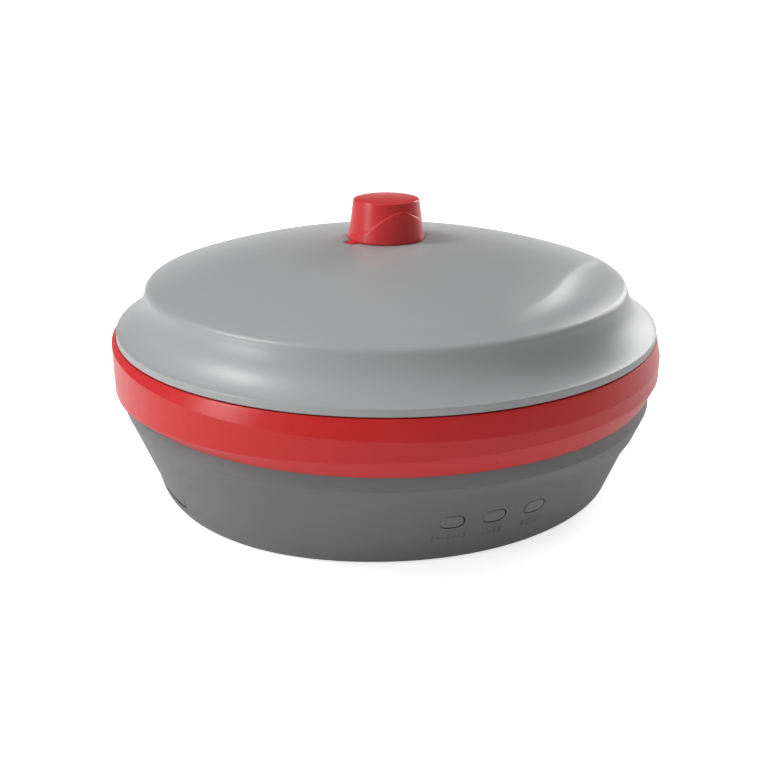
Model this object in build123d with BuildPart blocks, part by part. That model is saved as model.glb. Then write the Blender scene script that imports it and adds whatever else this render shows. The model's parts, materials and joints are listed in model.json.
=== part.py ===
from build123d import *
import os
from math import cos, hypot, radians, sin, sqrt

# GNSS receiver: a domed radome on a dark lower housing, joined under a red band, with a
# capped socket for a radio antenna at the crown. Millimetres, +Z up, feet on z = 0,
# axis on Z. The front, with its three status lenses, faces -Y.

# ---------------------------------------------------------------- driving dimensions
SEAM_R = 80.0             # radius of the seam between radome and band
SEAM_Z = 45.0             # height of that seam
BAND_R = 81.4             # widest radius, on the band's flat face
BAND_BOTTOM = 29.3        # underside of the band
EDGE_Z = 1.0              # bottom edge of the housing, above the surface it stands on
EDGE_R = 69.6             # radius of that edge
SHOULDER = (75.2, 15.6)   # radius and height where the housing's wall bends
NECK = (79.1, 25.4)       # radius and height of the neck edge under the band
RIM = (69.0, 59.62)       # radius and height where the dome starts inside its rim
APEX_Z = 70.84            # crown of the dome, before its flat seat
WALL = 2.6                # radome thickness

FLOOR_BOTTOM, FLOOR_TOP = 3.2, 6.2
FLOOR_R = 56.0            # the floor drops in here, on the housing's ledge
RECESS_R = 66.0           # recess under the floor that takes the base plate
PLATE_BOTTOM = 1.6        # underside of the base plate
SEAT_Z = 70.4             # flat seat for the socket, at the crown
CAP_BASE_R, CAP_TOP_R = 11.6, 9.8
CAP_BASE_Z, CAP_EDGE_Z, CAP_TOP_Z = 70.5, 82.0, 82.6

BOARD_Z, BOARD_T, BOARD_R = 14.0, 1.6, 55.0
BOARD_TOP = BOARD_Z + BOARD_T
REFLECTOR_Z, REFLECTOR_T, REFLECTOR_R = 44.0, 1.2, 56.0
REFLECTOR_TOP = REFLECTOR_Z + REFLECTOR_T
ANTENNA_Z, ANTENNA_T, ANTENNA_R = 53.0, 1.6, 50.0
ANTENNA_TOP = ANTENNA_Z + ANTENNA_T
MODULE_H = 6.0            # height of the shield cans on the main board

SCREW_CIRCLE_R = 61.5     # housing screws
SCREW_COUNT = 6
SCREW_START = -102.0      # polar angle of the first one, from +X
WELL_TOP = 26.0           # the housing screws' heads sit this high in their wells
SPACER_GRID = 72.0        # square of board spacers
STANDOFF_GRID = 60.0      # square of antenna standoffs, and of base plate screws
PORT_Y = 40.0             # data port, behind the axis
PORT_R = 8.9              # its shell
PANEL_HALF = 18.0         # half width of the floor panel that carries it
PANEL_FRONT = 22.0        # and where that panel starts, behind the axis
VENT = (-24.0, 38.0)      # x and y of the vent plug
INSERT_R = 10.95          # brass insert for the survey pole
INSERT_TOP = 17.3
POLE_BORE_R = 6.8         # 5/8"-11 thread, modelled as a plain bore at its minor diameter
POLE_BORE_TOP = 16.5

LENS_AZIMUTHS = (13.0, 22.0, 31.5)   # from the front, towards +X
LENS_Z = 13.6
LENS_LENGTH, LENS_HEIGHT = 6.2, 4.0  # stadium outline on the sloping wall
LENS_PROUD = 0.5
LENS_DEPTH = 18.0         # how far the light pipe behind the lens reaches in

LIP_HALF_ANGLE = 38.0     # base plate lip, about the -X direction
LIP_TOP = 2.0
SLOT_TOP = 2.8            # the shadow gap over the lip ends here

PRY_TURN = -145.0         # polar angle of the cap's pry tab, from +X
FOOT_CIRCLE_R = 57.0

COAX_R = 0.9
COAX_BEND_R = 5.6


# ---------------------------------------------------------------- helpers
def ring_solid(outer_r, inner_r, bottom, top):
    """A plain ring about Z, or a disc if inner_r is 0."""
    with BuildPart() as ring:
        with BuildSketch(Plane.XY.offset(bottom)):
            Circle(outer_r)
            if inner_r:
                Circle(inner_r, mode=Mode.SUBTRACT)
        extrude(amount=top - bottom)
    return ring.part


def revolved(points):
    """A solid turned about Z from a closed outline of (radius, height) points."""
    with BuildPart() as turned:
        with BuildSketch(Plane.XZ):
            with BuildLine():
                Polyline(*points, close=True)
            make_face()
        revolve(axis=Axis.Z)
    return turned.part


def crown_arc(edge_r, edge_z, crown_z):
    """A line of a sphere centred on the axis, from its edge up to the crown."""
    height = crown_z - edge_z
    sphere_r = (edge_r ** 2 + height ** 2) / (2 * height)
    middle_z = crown_z - sphere_r + sqrt(sphere_r ** 2 - (edge_r / 2) ** 2)
    return ThreePointArc((edge_r, edge_z), (edge_r / 2, middle_z), (0, crown_z))


def screw_group(places, head_r, head_bottom, head_h, shank_r, shank_end):
    """Pan-head screws, one solid at each (x, y); the shank runs down to shank_end."""
    with BuildPart() as screws:
        with BuildSketch(Plane.XY.offset(head_bottom)):
            with Locations(*places):
                Circle(head_r)
        extrude(amount=head_h)
        with BuildSketch(Plane.XY.offset(head_bottom)):
            with Locations(*places):
                Circle(shank_r)
        extrude(amount=shank_end - head_bottom)
        with BuildSketch(Plane.XY.offset(head_bottom + head_h)):
            with Locations(*places):
                RegularPolygon(radius=head_r * 0.45, side_count=6)
        extrude(amount=-head_h * 0.55, mode=Mode.SUBTRACT)
    return screws.part


def square(side):
    """The four corners of a square centred on the axis."""
    half = side / 2
    return [(half, half), (-half, half), (-half, -half), (half, -half)]


def at_azimuth(azimuth, radius):
    """x and y at an azimuth measured from the front, -Y, towards +X."""
    angle = radians(azimuth)
    return radius * sin(angle), -radius * cos(angle)


def lens_plane(azimuth, inward=0.0):
    """A plane on the housing's wall at a lens, its z axis along the wall's normal."""
    run, rise = SHOULDER[0] - EDGE_R, SHOULDER[1] - EDGE_Z
    slope = hypot(run, rise)
    radius = EDGE_R + run * (LENS_Z - EDGE_Z) / rise - inward * rise / slope
    x, y = at_azimuth(azimuth, radius)
    out_x, out_y = at_azimuth(azimuth, rise / slope)
    angle = radians(azimuth)
    return Plane(
        origin=(x, y, LENS_Z + inward * run / slope),
        x_dir=(cos(angle), sin(angle), 0),
        z_dir=(out_x, out_y, -run / slope),
    )


os.makedirs("parts", exist_ok=True)


def save(part, name):
    """Name a finished piece and write its file."""
    part.label = name
    export_step(part, f"parts/{name}.step")


SPACERS = square(SPACER_GRID)
STANDOFFS = square(STANDOFF_GRID)
SCREWS = [
    (SCREW_CIRCLE_R * cos(radians(SCREW_START + 360 / SCREW_COUNT * i)),
     SCREW_CIRCLE_R * sin(radians(SCREW_START + 360 / SCREW_COUNT * i)))
    for i in range(SCREW_COUNT)
]

# ---------------------------------------------------------------- radome
# Hollow inside, with the six screw bosses left standing in the hollow.
with BuildPart() as radome_hollow:
    with BuildSketch(Plane.XZ):
        with BuildLine():
            Polyline((0, SEAM_Z), (74.0, SEAM_Z), (74.0, 46.5), (71.6, 50.6), (68.9, 55.5),
                     (RIM[0] - 2.0, RIM[1] - WALL))
            crown_arc(RIM[0] - 2.0, RIM[1] - WALL, APEX_Z - WALL)
            Line((0, APEX_Z - WALL), (0, SEAM_Z))
        make_face()
    revolve(axis=Axis.Z)
    with BuildSketch(Plane.XY.offset(SEAM_Z)):
        with Locations(*SCREWS):
            Circle(4.0)
    extrude(amount=20.0, mode=Mode.SUBTRACT)

with BuildPart() as radome:
    with BuildSketch(Plane.XZ):
        with BuildLine():
            Polyline((0, SEAM_Z), (SEAM_R, SEAM_Z), (SEAM_R - 0.2, 46.6), (79.2, 47.4))
            ThreePointArc((79.2, 47.4), (74.4, 51.8), (71.4, 57.0))
            ThreePointArc((71.4, 57.0), (70.6, 58.7), RIM)
            crown_arc(*RIM, APEX_Z)
            Line((0, APEX_Z), (0, SEAM_Z))
        make_face()
    revolve(axis=Axis.Z)
    add(radome_hollow.part, mode=Mode.SUBTRACT)
    # flat seat for the socket and its cap, and the spot face for the nut inside
    with BuildSketch(Plane.XY.offset(SEAT_Z)):
        Circle(CAP_BASE_R + 0.3)
    extrude(amount=5.0, mode=Mode.SUBTRACT)
    with BuildSketch(Plane.XY.offset(60.0)):
        Circle(11.0)
    extrude(amount=8.0, mode=Mode.SUBTRACT)
    with BuildSketch(Plane.XY.offset(60.0)):
        Circle(5.6)
    extrude(amount=15.0, mode=Mode.SUBTRACT)
    # notch for the cap's pry tab
    with BuildSketch(Plane.XY.offset(SEAT_Z - 0.8)):
        with Locations(Location((0, 0), PRY_TURN)):
            with Locations((12.4, 0)):
                Rectangle(3.2, 4.8)
    extrude(amount=5.0, mode=Mode.SUBTRACT)
    with BuildSketch(Plane.XY.offset(SEAM_Z)):
        with Locations(*SCREWS):
            Circle(1.5)
    extrude(amount=11.0, mode=Mode.SUBTRACT)
save(radome.part, "radome")

# ---------------------------------------------------------------- red band and seal
save(revolved([(77.0, BAND_BOTTOM), (79.0, BAND_BOTTOM), (BAND_R, 34.8), (BAND_R, 39.9),
               (SEAM_R, SEAM_Z), (77.0, SEAM_Z)]), "trim_band")
save(ring_solid(76.4, 74.4, 43.6, SEAM_Z), "main_seal")

# ---------------------------------------------------------------- lower housing
with BuildPart() as lower_housing:
    with BuildSketch(Plane.XZ):
        with BuildLine():
            Polyline((FLOOR_R, FLOOR_BOTTOM), (RECESS_R, FLOOR_BOTTOM), (RECESS_R, EDGE_Z),
                     (EDGE_R, EDGE_Z), SHOULDER, NECK, (78.8, BAND_BOTTOM),
                     (76.9, BAND_BOTTOM), (76.9, 43.6), (73.9, 43.6), (73.9, 24.5),
                     (72.3, 16.4), (68.3, FLOOR_TOP), (FLOOR_R, FLOOR_TOP), close=True)
        make_face()
    revolve(axis=Axis.Z)
    # screw columns
    with BuildSketch(Plane.XY.offset(FLOOR_TOP)):
        with Locations(*SCREWS):
            Circle(4.5)
    extrude(amount=44.9 - FLOOR_TOP)
    # wells and shank holes of the housing screws
    with BuildSketch(Plane.XY.offset(FLOOR_BOTTOM)):
        with Locations(*SCREWS):
            Circle(3.4)
    extrude(amount=WELL_TOP - FLOOR_BOTTOM, mode=Mode.SUBTRACT)
    with BuildSketch(Plane.XY.offset(WELL_TOP)):
        with Locations(*SCREWS):
            Circle(1.9)
    extrude(amount=20.0, mode=Mode.SUBTRACT)
    # the wall stops short over the base plate's lip, on the -X side
    with BuildSketch(Plane.XY.offset(EDGE_Z - 1.0)):
        with BuildLine():
            CenterArc((0, 0), 74.0, 180.0 - LIP_HALF_ANGLE, 2 * LIP_HALF_ANGLE)
            Line((74.0 * cos(radians(180.0 - LIP_HALF_ANGLE)),
                  74.0 * sin(radians(180.0 - LIP_HALF_ANGLE))), (0, 0))
            Line((0, 0), (74.0 * cos(radians(180.0 + LIP_HALF_ANGLE)),
                          74.0 * sin(radians(180.0 + LIP_HALF_ANGLE))))
        make_face()
        Circle(RECESS_R - 1.0, mode=Mode.SUBTRACT)
    extrude(amount=SLOT_TOP - EDGE_Z + 1.0, mode=Mode.SUBTRACT)
    # windows of the status lenses
    for azimuth in LENS_AZIMUTHS:
        with BuildSketch(lens_plane(azimuth, inward=-1.0)):
            SlotOverall(LENS_LENGTH + 0.3, LENS_HEIGHT + 0.3)
        extrude(amount=-8.0, mode=Mode.SUBTRACT)
    fillet(lower_housing.edges().filter_by(GeomType.CIRCLE).group_by(Axis.Z)[0]
           .sort_by(SortBy.RADIUS)[-1:], radius=0.6)
save(lower_housing.part, "lower_housing")

# ---------------------------------------------------------------- floor
with BuildPart() as floor_plate:
    with BuildSketch(Plane.XY.offset(FLOOR_BOTTOM)):
        Circle(FLOOR_R)
        with Locations((0, PANEL_FRONT)):
            Rectangle(2 * PANEL_HALF, FLOOR_R, align=(Align.CENTER, Align.MIN), mode=Mode.SUBTRACT)
    extrude(amount=FLOOR_TOP - FLOOR_BOTTOM)
    # spacer bosses, base plate screw bosses and the boss over the pole insert
    with BuildSketch(Plane.XY.offset(FLOOR_TOP)):
        with Locations(*SPACERS):
            Circle(3.5)
    extrude(amount=BOARD_Z - FLOOR_TOP)
    with BuildSketch(Plane.XY.offset(FLOOR_TOP)):
        Circle(14.5)
    extrude(amount=20.0 - FLOOR_TOP)
    with BuildSketch(Plane.XY.offset(FLOOR_TOP)):
        with Locations(*STANDOFFS):
            Circle(3.2)
    extrude(amount=3.8)
    # blind holes for the spacers, from above, and the plate screws, from below
    with BuildSketch(Plane.XY.offset(8.0)):
        with Locations(*SPACERS):
            Circle(1.5)
    extrude(amount=10.0, mode=Mode.SUBTRACT)
    with BuildSketch(Plane.XY.offset(FLOOR_BOTTOM)):
        with Locations(*STANDOFFS):
            Circle(1.3)
    extrude(amount=5.0, mode=Mode.SUBTRACT)
    # pocket of the pole insert, and the vent's hole
    with BuildSketch(Plane.XY.offset(FLOOR_BOTTOM)):
        Circle(INSERT_R + 0.05)
    extrude(amount=INSERT_TOP + 0.1 - FLOOR_BOTTOM, mode=Mode.SUBTRACT)
    with BuildSketch(Plane.XY.offset(FLOOR_BOTTOM)):
        with Locations(VENT):
            Circle(3.1)
    extrude(amount=FLOOR_TOP - FLOOR_BOTTOM, mode=Mode.SUBTRACT)
save(floor_plate.part, "floor_plate")

with BuildPart() as port_panel:
    with BuildSketch(Plane.XY.offset(FLOOR_BOTTOM)):
        with Locations((0, PANEL_FRONT)):
            Rectangle(2 * PANEL_HALF, FLOOR_R, align=(Align.CENTER, Align.MIN))
        Circle(FLOOR_R, mode=Mode.INTERSECT)
        with Locations((0, PORT_Y)):
            Circle(PORT_R + 0.1, mode=Mode.SUBTRACT)
    extrude(amount=FLOOR_TOP - FLOOR_BOTTOM)
save(port_panel.part, "port_panel")

# ---------------------------------------------------------------- base plate
# Its lip shows on the -X side, as a thin edge under a shadow gap.
with BuildPart() as base_plate:
    with BuildSketch(Plane.XY.offset(PLATE_BOTTOM)):
        Circle(RECESS_R - 0.3)
    extrude(amount=FLOOR_BOTTOM - PLATE_BOTTOM)
    for outer_r, inner_r, top in ((69.9, 64.0, LIP_TOP), (RECESS_R - 0.3, 62.5, FLOOR_BOTTOM)):
        with BuildSketch(Plane.XY.offset(EDGE_Z)):
            with BuildLine():
                half = LIP_HALF_ANGLE - 0.3
                CenterArc((0, 0), outer_r, 180.0 - half, 2 * half)
                Line((outer_r * cos(radians(180.0 - half)),
                      outer_r * sin(radians(180.0 - half))), (0, 0))
                Line((0, 0), (outer_r * cos(radians(180.0 + half)),
                              outer_r * sin(radians(180.0 + half))))
            make_face()
            Circle(inner_r, mode=Mode.SUBTRACT)
        extrude(amount=top - EDGE_Z)
    with BuildSketch(Plane.XY.offset(PLATE_BOTTOM)):
        Circle(13.7)
        with Locations((0, PORT_Y)):
            Circle(PORT_R + 0.6)
        with Locations(VENT):
            Circle(4.0)
        with Locations(*STANDOFFS):
            Circle(1.7)
    extrude(amount=FLOOR_BOTTOM - PLATE_BOTTOM, mode=Mode.SUBTRACT)
    with BuildSketch(Plane.XY.offset(PLATE_BOTTOM)):
        with PolarLocations(FOOT_CIRCLE_R, 4, 45.0):
            Circle(5.1)
    extrude(amount=0.6, mode=Mode.SUBTRACT)
    with BuildSketch(Plane.XY.offset(PLATE_BOTTOM)):
        with Locations(*STANDOFFS):
            Circle(2.9)
    extrude(amount=1.0, mode=Mode.SUBTRACT)
save(base_plate.part, "base_plate")

with BuildPart() as base_screws:
    with BuildSketch(Plane.XY.offset(PLATE_BOTTOM)):
        with Locations(*STANDOFFS):
            Circle(2.8)
    extrude(amount=1.0)
    with BuildSketch(Plane.XY.offset(PLATE_BOTTOM)):
        with Locations(*STANDOFFS):
            Circle(1.25)
    extrude(amount=6.0)
    with BuildSketch(Plane.XY.offset(PLATE_BOTTOM)):
        with Locations(*STANDOFFS):
            RegularPolygon(radius=1.3, side_count=6)
    extrude(amount=0.7, mode=Mode.SUBTRACT)
save(base_screws.part, "base_screws")

with BuildPart() as rubber_feet:
    with BuildSketch(Plane.XY):
        with PolarLocations(FOOT_CIRCLE_R, 4, 45.0):
            Circle(5.0)
    extrude(amount=PLATE_BOTTOM + 0.6)
    chamfer(rubber_feet.edges().group_by(Axis.Z)[0], length=0.4)
save(rubber_feet.part, "rubber_feet")

with BuildPart() as rating_plate:
    with BuildSketch(Plane.XY.offset(PLATE_BOTTOM - 0.25)):
        with Locations((0, -38.0)):
            RectangleRounded(44.0, 16.0, 1.5)
    extrude(amount=0.25)
save(rating_plate.part, "rating_plate")

# ---------------------------------------------------------------- housing screws
with BuildPart() as housing_screws:
    with BuildSketch(Plane.XY.offset(WELL_TOP)):
        with Locations(*SCREWS):
            Circle(3.2)
    extrude(amount=-3.0)
    with BuildSketch(Plane.XY.offset(WELL_TOP)):
        with Locations(*SCREWS):
            Circle(1.45)
    extrude(amount=28.0)
    with BuildSketch(Plane.XY.offset(WELL_TOP - 3.0)):
        with Locations(*SCREWS):
            RegularPolygon(radius=1.6, side_count=6)
    extrude(amount=1.8, mode=Mode.SUBTRACT)
save(housing_screws.part, "housing_screws")

# ---------------------------------------------------------------- pole insert
save(revolved([(POLE_BORE_R, 1.7), (13.4, 1.7), (13.4, FLOOR_BOTTOM), (INSERT_R, FLOOR_BOTTOM),
               (INSERT_R, INSERT_TOP), (0, INSERT_TOP), (0, POLE_BORE_TOP),
               (POLE_BORE_R, POLE_BORE_TOP)]), "pole_insert")

# ---------------------------------------------------------------- data port
with BuildPart() as data_port:
    with BuildSketch(Plane.XY.offset(1.7)):
        with Locations((0, PORT_Y)):
            Circle(PORT_R)
    extrude(amount=10.9)
    with BuildSketch(Plane.XY.offset(FLOOR_TOP + 0.6)):
        with Locations((0, PORT_Y)):
            Circle(11.0)
    extrude(amount=1.4)
    with BuildSketch(Plane.XY.offset(1.7)):
        with Locations((0, PORT_Y)):
            Circle(6.6)
    extrude(amount=10.9, mode=Mode.SUBTRACT)
save(data_port.part, "data_port")

with BuildPart() as port_seal:
    with BuildSketch(Plane.XY.offset(FLOOR_TOP)):
        with Locations((0, PORT_Y)):
            Circle(10.8)
            Circle(9.3, mode=Mode.SUBTRACT)
    extrude(amount=0.6)
save(port_seal.part, "port_seal")

with BuildPart() as port_insulator:
    with BuildSketch(Plane.XY.offset(9.4)):
        with Locations((0, PORT_Y)):
            Circle(6.55)
            with PolarLocations(4.4, 8):
                Circle(0.45, mode=Mode.SUBTRACT)
            with PolarLocations(1.8, 4, 45.0):
                Circle(0.45, mode=Mode.SUBTRACT)
    extrude(amount=3.2)
save(port_insulator.part, "port_insulator")

with BuildPart() as port_pins:
    with BuildSketch(Plane.XY.offset(7.4)):
        with Locations((0, PORT_Y)):
            with PolarLocations(4.4, 8):
                Circle(0.45)
            with PolarLocations(1.8, 4, 45.0):
                Circle(0.45)
    extrude(amount=BOARD_Z - 7.4)
save(port_pins.part, "port_pins")

with BuildPart() as vent_plug:
    with BuildSketch(Plane.XY.offset(2.2)):
        with Locations(VENT):
            Circle(3.8)
    extrude(amount=FLOOR_BOTTOM - 2.2)
    with BuildSketch(Plane.XY.offset(FLOOR_BOTTOM)):
        with Locations(VENT):
            Circle(3.05)
    extrude(amount=FLOOR_TOP + 1.0 - FLOOR_BOTTOM)
    with BuildSketch(Plane.XY.offset(2.2)):
        with Locations(VENT):
            with PolarLocations(2.0, 3):
                Circle(0.5)
    extrude(amount=2.5, mode=Mode.SUBTRACT)
save(vent_plug.part, "vent_plug")

# ---------------------------------------------------------------- main board and its modules
with BuildPart() as main_board:
    with BuildSketch(Plane.XY.offset(BOARD_Z)):
        Circle(BOARD_R)
        Circle(15.2, mode=Mode.SUBTRACT)
        with Locations(*SPACERS):
            Circle(1.6, mode=Mode.SUBTRACT)
    extrude(amount=BOARD_T)
save(main_board.part, "main_board")

MODULES = {
    "receiver_module": (-32.0, 0.0, 28.0, 48.0),
    "radio_module": (32.0, -7.0, 28.0, 34.0),
    "power_module": (31.0, 20.0, 22.0, 14.0),
}
for module_name, (x, y, width, length) in MODULES.items():
    with BuildPart() as module:
        with BuildSketch(Plane.XY.offset(BOARD_TOP)):
            with Locations((x, y)):
                RectangleRounded(width, length, 1.0)
        extrude(amount=MODULE_H)
        fillet(module.edges().group_by(Axis.Z)[-1], radius=0.5)
    save(module.part, module_name)

with BuildPart() as board_spacers:
    with BuildSketch(Plane.XY.offset(BOARD_TOP)):
        with Locations(*SPACERS):
            RegularPolygon(radius=3.18, side_count=6)
    extrude(amount=REFLECTOR_Z - BOARD_TOP)
    with BuildSketch(Plane.XY.offset(9.0)):
        with Locations(*SPACERS):
            Circle(1.45)
    extrude(amount=BOARD_TOP - 9.0)
    with BuildSketch(Plane.XY.offset(REFLECTOR_Z)):
        with Locations(*SPACERS):
            Circle(1.5)
    extrude(amount=-9.0, mode=Mode.SUBTRACT)
save(board_spacers.part, "board_spacers")

with BuildPart() as status_leds:
    for azimuth in LENS_AZIMUTHS:
        x, y = at_azimuth(azimuth, 53.0)
        with BuildSketch(Plane.XY.offset(BOARD_TOP)):
            with Locations(Location((x, y), azimuth)):
                Rectangle(5.0, 3.4)
        extrude(amount=6.4)
save(status_leds.part, "status_leds")

for index, azimuth in enumerate(LENS_AZIMUTHS, start=1):
    wall = lens_plane(azimuth)
    with BuildPart() as status_lens:
        with BuildSketch(lens_plane(azimuth, inward=-LENS_PROUD)):
            SlotOverall(LENS_LENGTH, LENS_HEIGHT)
        extrude(amount=-LENS_PROUD - LENS_DEPTH)
        outward = Axis(wall.origin, wall.z_dir)
        fillet(status_lens.faces().sort_by(outward)[-1].edges(), radius=0.3)
    save(status_lens.part, f"status_lens_{index}")

# ---------------------------------------------------------------- antenna
with BuildPart() as reflector_plate:
    with BuildSketch(Plane.XY.offset(REFLECTOR_Z)):
        Circle(REFLECTOR_R)
        Circle(6.0, mode=Mode.SUBTRACT)
        with Locations((10.0, -20.0)):
            Circle(3.0, mode=Mode.SUBTRACT)
        with Locations(*SPACERS, *STANDOFFS):
            Circle(1.6, mode=Mode.SUBTRACT)
    extrude(amount=REFLECTOR_T)
save(reflector_plate.part, "reflector_plate")
save(screw_group(SPACERS, 2.7, REFLECTOR_TOP, 2.0, 1.45, 37.0), "reflector_screws")

with BuildPart() as antenna_board:
    with BuildSketch(Plane.XY.offset(ANTENNA_Z)):
        Circle(ANTENNA_R)
        Circle(7.0, mode=Mode.SUBTRACT)
        with Locations(*STANDOFFS):
            Circle(1.6, mode=Mode.SUBTRACT)
    extrude(amount=ANTENNA_T)
save(antenna_board.part, "antenna_board")

with BuildPart() as antenna_standoffs:
    with BuildSketch(Plane.XY.offset(REFLECTOR_TOP)):
        with Locations(*STANDOFFS):
            Circle(3.2)
    extrude(amount=ANTENNA_Z - REFLECTOR_TOP)
    with BuildSketch(Plane.XY.offset(REFLECTOR_Z - 1.0)):
        with Locations(*STANDOFFS):
            Circle(1.55)
    extrude(amount=REFLECTOR_T + 1.0)
    with BuildSketch(Plane.XY.offset(ANTENNA_Z)):
        with Locations(*STANDOFFS):
            Circle(1.5)
    extrude(amount=-6.0, mode=Mode.SUBTRACT)
save(antenna_standoffs.part, "antenna_standoffs")
save(screw_group(STANDOFFS, 2.7, ANTENNA_TOP, 1.8, 1.45, 48.0), "antenna_screws")

with BuildPart() as lna_shield:
    with BuildSketch(Plane.XY.offset(ANTENNA_Z)):
        with Locations((0, -25.0)):
            RectangleRounded(34.0, 24.0, 1.0)
    extrude(amount=-4.0)
save(lna_shield.part, "lna_shield")

# ---------------------------------------------------------------- radio antenna socket
save(revolved([(2.2, 60.0), (5.5, 60.0), (5.5, SEAT_Z), (5.7, SEAT_Z), (5.7, 71.3), (7.2, 71.3),
               (7.2, SEAT_Z), (8.6, SEAT_Z), (8.6, 72.2), (5.55, 72.2), (5.55, 80.4), (4.05, 80.4),
               (4.05, 74.5), (2.2, 74.5)]), "radio_socket")
save(revolved([(0.7, 60.2), (2.2, 60.2), (2.2, 74.5), (2.0, 74.5), (2.0, 78.2), (0.7, 78.2)]),
     "socket_insulator")
save(ring_solid(0.7, 0.0, 59.0, 77.8), "socket_contact")
save(ring_solid(7.1, 5.75, SEAT_Z, 71.3), "socket_seal")
save(ring_solid(8.6, 5.55, 67.2, 68.0), "socket_washer")
with BuildPart() as socket_nut:
    with BuildSketch(Plane.XY.offset(64.4)):
        RegularPolygon(radius=8.6, side_count=6)
        Circle(5.55, mode=Mode.SUBTRACT)
    extrude(amount=2.8)
save(socket_nut.part, "socket_nut")

# ---------------------------------------------------------------- socket cap
with BuildPart() as socket_cap:
    with BuildSketch(Plane.XZ):
        with BuildLine():
            Polyline((0, CAP_BASE_Z), (CAP_BASE_R, CAP_BASE_Z), (CAP_BASE_R - 0.35, CAP_BASE_Z + 1.6),
                     (CAP_TOP_R + 0.1, CAP_EDGE_Z - 0.8))
            ThreePointArc((CAP_TOP_R + 0.1, CAP_EDGE_Z - 0.8), (CAP_TOP_R - 0.15, CAP_EDGE_Z - 0.2),
                          (CAP_TOP_R - 0.7, CAP_EDGE_Z))
            crown_arc(CAP_TOP_R - 0.7, CAP_EDGE_Z, CAP_TOP_Z)
            Line((0, CAP_TOP_Z), (0, CAP_BASE_Z))
        make_face()
    revolve(axis=Axis.Z)
    with BuildSketch(Plane.XZ):
        with BuildLine():
            Polyline((0, CAP_BASE_Z), (9.9, CAP_BASE_Z), (8.6, 81.0), (7.2, 81.0), (7.2, 72.7),
                     (5.63, 72.7), (5.63, 81.0), (0, 81.0), close=True)
        make_face()
    revolve(axis=Axis.Z, mode=Mode.SUBTRACT)
    # pry tab
    with BuildSketch(Plane.XY.offset(SEAT_Z - 0.4)):
        with Locations(Location((0, 0), PRY_TURN)):
            with Locations((12.3, 0)):
                Rectangle(2.6, 4.0)
    extrude(amount=0.9)
save(socket_cap.part, "socket_cap")

# ---------------------------------------------------------------- coax leads inside
COAX_TOP_Z = 37.0
PLUG_TOP = BOARD_TOP + MODULE_H + 2.2
COAX_ROUTES = {
    "antenna_coax": ((10.0, -20.0, ANTENNA_Z - 4.0), (10.0, -20.0, COAX_TOP_Z),
                     (-26.0, -6.0, COAX_TOP_Z), (-26.0, -6.0, PLUG_TOP)),
    "radio_coax": ((0, 0, 59.0), (0, 0, COAX_TOP_Z), (30.0, -8.0, COAX_TOP_Z),
                   (30.0, -8.0, PLUG_TOP)),
}
for lead_name, route in COAX_ROUTES.items():
    with BuildPart() as lead:
        with BuildLine():
            FilletPolyline(*route, radius=COAX_BEND_R)
        with BuildSketch(Plane(origin=route[0], z_dir=(0, 0, -1))):
            Circle(COAX_R)
        sweep()
    save(lead.part, lead_name)

with BuildPart() as coax_plugs:
    with BuildSketch(Plane.XY.offset(PLUG_TOP)):
        with Locations(*[route[-1][:2] for route in COAX_ROUTES.values()]):
            Circle(2.0)
    extrude(amount=-2.2)
save(coax_plugs.part, "coax_plugs")
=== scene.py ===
import json
from math import cos, degrees, pi, radians, sin, sqrt, tan

import bmesh
import bpy
import numpy as np
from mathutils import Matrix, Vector


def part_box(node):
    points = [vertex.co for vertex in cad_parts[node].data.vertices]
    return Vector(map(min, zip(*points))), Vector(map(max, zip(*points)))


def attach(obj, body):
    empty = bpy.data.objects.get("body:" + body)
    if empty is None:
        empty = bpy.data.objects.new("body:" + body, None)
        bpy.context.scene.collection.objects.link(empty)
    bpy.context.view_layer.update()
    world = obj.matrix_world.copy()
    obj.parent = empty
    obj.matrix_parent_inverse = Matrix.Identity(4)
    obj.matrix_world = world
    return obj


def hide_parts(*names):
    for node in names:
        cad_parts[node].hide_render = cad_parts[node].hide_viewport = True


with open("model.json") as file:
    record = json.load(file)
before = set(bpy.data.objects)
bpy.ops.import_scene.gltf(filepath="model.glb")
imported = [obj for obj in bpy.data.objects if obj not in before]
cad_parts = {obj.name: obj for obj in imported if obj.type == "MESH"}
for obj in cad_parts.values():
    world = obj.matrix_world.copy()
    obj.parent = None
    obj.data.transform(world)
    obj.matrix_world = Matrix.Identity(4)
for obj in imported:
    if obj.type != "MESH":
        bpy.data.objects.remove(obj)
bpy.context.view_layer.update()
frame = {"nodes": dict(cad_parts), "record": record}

MM = 0.001
RECEIVER, CAP = "receiver", "cap"


# ------------------------------------------------------------------ places from the frame, mm
def low(node):
    return Vector(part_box(node)[0]) / MM


def high(node):
    return Vector(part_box(node)[1]) / MM


SEAM_R, SEAM_Z = high("radome").x, low("radome").z
BAND_R, BAND_BOTTOM = high("trim_band").x, low("trim_band").z
EDGE_Z = low("lower_housing").z          # bottom edge of the housing
NECK_R = high("lower_housing").x         # neck edge under the band
SEAT_Z = low("socket_seal").z            # flat seat at the crown
CAP_LOW, CAP_HIGH = SEAT_Z + 0.1, high("socket_cap").z
SOCKET_TOP = high("radio_socket").z


# ------------------------------------------------------------------ outline helpers
def smoothstep(edge0, edge1, x):
    t = np.clip((np.asarray(x, dtype=float) - edge0) / (edge1 - edge0), 0.0, 1.0)
    return t * t * (3 - 2 * t)


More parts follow.
